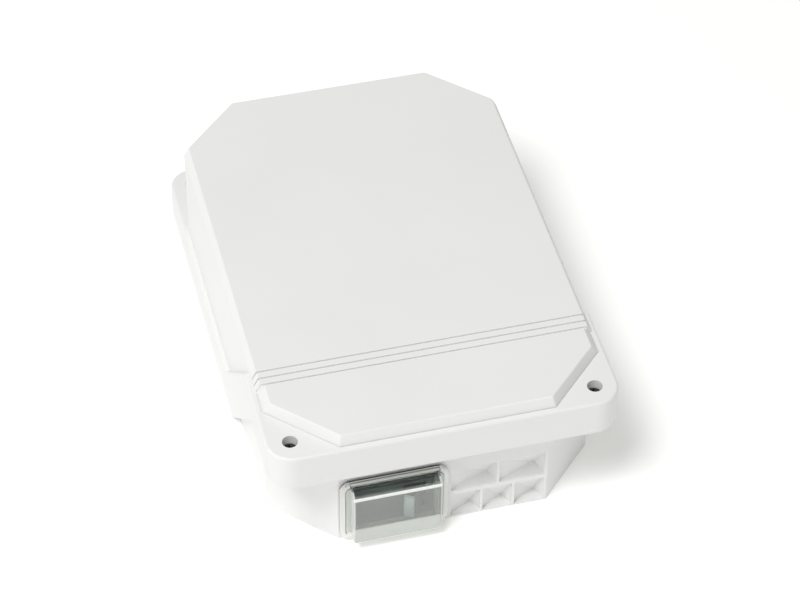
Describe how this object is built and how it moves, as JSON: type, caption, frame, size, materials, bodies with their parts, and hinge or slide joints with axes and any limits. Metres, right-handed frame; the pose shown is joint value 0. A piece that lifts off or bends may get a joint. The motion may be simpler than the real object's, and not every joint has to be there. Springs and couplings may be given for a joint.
{
  "type": "water leak control unit",
  "caption": "Wall-mounted water leak control unit: pale stepped case with a bare grooved cover, cable entries, a lever switch behind a clear hinged flap, relays and a battery.",
  "frame": {"origin": "middle of the unit's outline on its back plane, where it meets the wall", "axes": "+X across the unit, +Y along it from the cable end to the far end, +Z out of the wall"},
  "size_m": [0.16, 0.2478, 0.0726],
  "materials": {
    "cover_plastic": "satin",
    "base_plastic": "satin",
    "seal_rubber": "matt",
    "screw_steel": "zinc plated",
    "pin_steel": "ground",
    "brass": "turned",
    "frame_plastic": "smooth",
    "clear_plastic": "clear moulded plastic",
    "switch_plastic": "dark blue-grey",
    "lever_plastic": "pale blue",
    "bracket_steel": "zinc plated sheet",
    "board_laminate": "green solder mask",
    "terminal_plastic": "moulded green",
    "relay_plastic": "moulded blue",
    "module_plastic": "black",
    "capacitor_can": "bare can",
    "holder_plastic": "black",
    "fuse_glass": "glass tube with metal caps",
    "led_lens": "diffused",
    "socket_plastic": "natural",
    "switch_case": "black",
    "button_plastic": "red",
    "battery_case": "moulded",
    "tab_metal": "tin plated",
    "lead_insulation": "smooth"
  },
  "bodies": {
    "unit": {"back_box": "base_plastic", "battery": "battery_case", "battery_leads": "lead_insulation", "battery_socket": "socket_plastic", "battery_strap": "bracket_steel", "battery_tabs": "tab_metal", "board_screws": "screw_steel", "bracket_screws": "screw_steel", "buzzer": "module_plastic", "controller_chip": "module_plastic", "cover_screws": "screw_steel", "cover_seal": "seal_rubber", "filter_capacitor": "capacitor_can", "front_cover": "cover_plastic", "fuse": "fuse_glass", "fuse_holder": "holder_plastic", "lever_pin": "pin_steel", "main_board": "board_laminate", "mains_leads": "lead_insulation", "mains_terminals": "terminal_plastic", "power_module": "module_plastic", "power_switch_body": "switch_plastic", "reset_switch": "switch_case", "sensor_terminals": "terminal_plastic", "set_up_switch": "switch_case", "status_leds": "led_lens", "strap_screws": "screw_steel", "switch_bracket": "bracket_steel", "switch_terminals": "brass", "terminal_screws": "screw_steel", "thread_inserts": "brass", "valve_relay_1": "relay_plastic", "valve_relay_2": "relay_plastic", "valve_relay_3": "relay_plastic", "valve_relay_4": "relay_plastic", "valve_terminals": "terminal_plastic", "window_frame": "frame_plastic", "window_gasket": "seal_rubber", "window_hinge_pin": "pin_steel", "window_seal": "seal_rubber"},
    "window_cover": {"window_cover": "clear_plastic"},
    "power_lever": {"power_lever": "lever_plastic"},
    "set_up_button": {"set_up_button": "button_plastic"},
    "reset_button": {"reset_button": "button_plastic"}
  },
  "joints": [
    {"name": "window_cover_hinge", "type": "hinge", "parent": "unit", "child": "window_cover", "pos_m": [-0.0232, -0.11675, 0.0373], "axis": [-1, 0, 0], "range_deg": [0, 100]},
    {"name": "power_lever_pivot", "type": "hinge", "parent": "unit", "child": "power_lever", "pos_m": [-0.0125, -0.10855, 0.0173], "axis": [0, 0, 1], "range_deg": [0, 54]},
    {"name": "set_up_button_press", "type": "slide", "parent": "unit", "child": "set_up_button", "axis": [0, 0, -1], "range_m": [0, 0.0008], "stiffness_N_per_m": 1500},
    {"name": "reset_button_press", "type": "slide", "parent": "unit", "child": "reset_button", "axis": [0, 0, -1], "range_m": [0, 0.0008], "stiffness_N_per_m": 1500}
  ]
}
